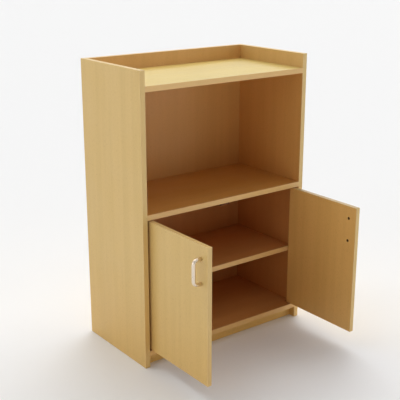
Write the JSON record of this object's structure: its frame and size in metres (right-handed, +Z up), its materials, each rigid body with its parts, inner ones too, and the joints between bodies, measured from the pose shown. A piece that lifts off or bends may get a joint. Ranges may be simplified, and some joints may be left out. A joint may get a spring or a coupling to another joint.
{
  "type": "storage cabinet",
  "caption": "Upright laminated board cabinet: rimmed top tray, open compartment, and below it a cupboard with an inner shelf, inset hinged doors with bow handles and a set-back plinth.",
  "frame": {"origin": "on the floor, centred across the cabinet's width and midway between its rear face and the free edges of its open doors", "axes": "+X to the cabinet's right as seen from the front, +Y from its front to its rear, +Z up"},
  "size_m": [0.714, 0.6654, 1],
  "materials": {
    "laminate": "beech-coloured laminated particle board, satin",
    "edge_band": "beech-coloured edge band, satin",
    "satin_metal": "satin nickel on steel",
    "zinc_steel": "zinc-plated steel",
    "pivot_steel": "nickel-plated steel plate",
    "support_steel": "nickel-plated steel",
    "cast_zinc": "bare cast zinc, dull",
    "bush_plastic": "natural nylon",
    "stop_plastic": "brown plastic",
    "dowel_wood": "bare beech"
  },
  "bodies": {
    "cabinet": {"side_panel_left": "laminate", "side_panel_right": "laminate", "side_band_left": "edge_band", "side_band_right": "edge_band", "back_panel": "laminate", "back_panel_band": "edge_band", "top_board": "laminate", "top_board_band": "edge_band", "mid_shelf": "laminate", "mid_shelf_band": "edge_band", "inner_shelf": "laminate", "inner_shelf_band": "edge_band", "bottom_board": "laminate", "bottom_board_band": "edge_band", "plinth_board": "laminate", "cam_locks": "cast_zinc", "cam_bolts": "zinc_steel", "dowels": "dowel_wood", "back_panel_screws": "zinc_steel", "shelf_supports": "support_steel", "door_stop": "stop_plastic", "countersunk_screws": "zinc_steel", "pivot_plate_top_left": "pivot_steel", "pivot_plate_bottom_left": "pivot_steel", "pivot_plate_top_right": "pivot_steel", "pivot_plate_bottom_right": "pivot_steel"},
    "left_door": {"door_left": "laminate", "door_band_left": "edge_band", "handle_left": "satin_metal", "handle_screws_left": "zinc_steel", "pivot_bush_top_left": "bush_plastic", "pivot_bush_bottom_left": "bush_plastic"},
    "right_door": {"door_right": "laminate", "door_band_right": "edge_band", "handle_right": "satin_metal", "handle_screws_right": "zinc_steel", "pivot_bush_top_right": "bush_plastic", "pivot_bush_bottom_right": "bush_plastic"}
  },
  "joints": [
    {"name": "left_door_hinge", "type": "hinge", "parent": "cabinet", "child": "left_door", "pos_m": [-0.315, -0.01925, 0.2884], "axis": [0, 0, -1], "range_deg": [-90, 30]},
    {"name": "right_door_hinge", "type": "hinge", "parent": "cabinet", "child": "right_door", "pos_m": [0.315, -0.01925, 0.2884], "axis": [0, 0, 1], "range_deg": [-90, 30]}
  ]
}
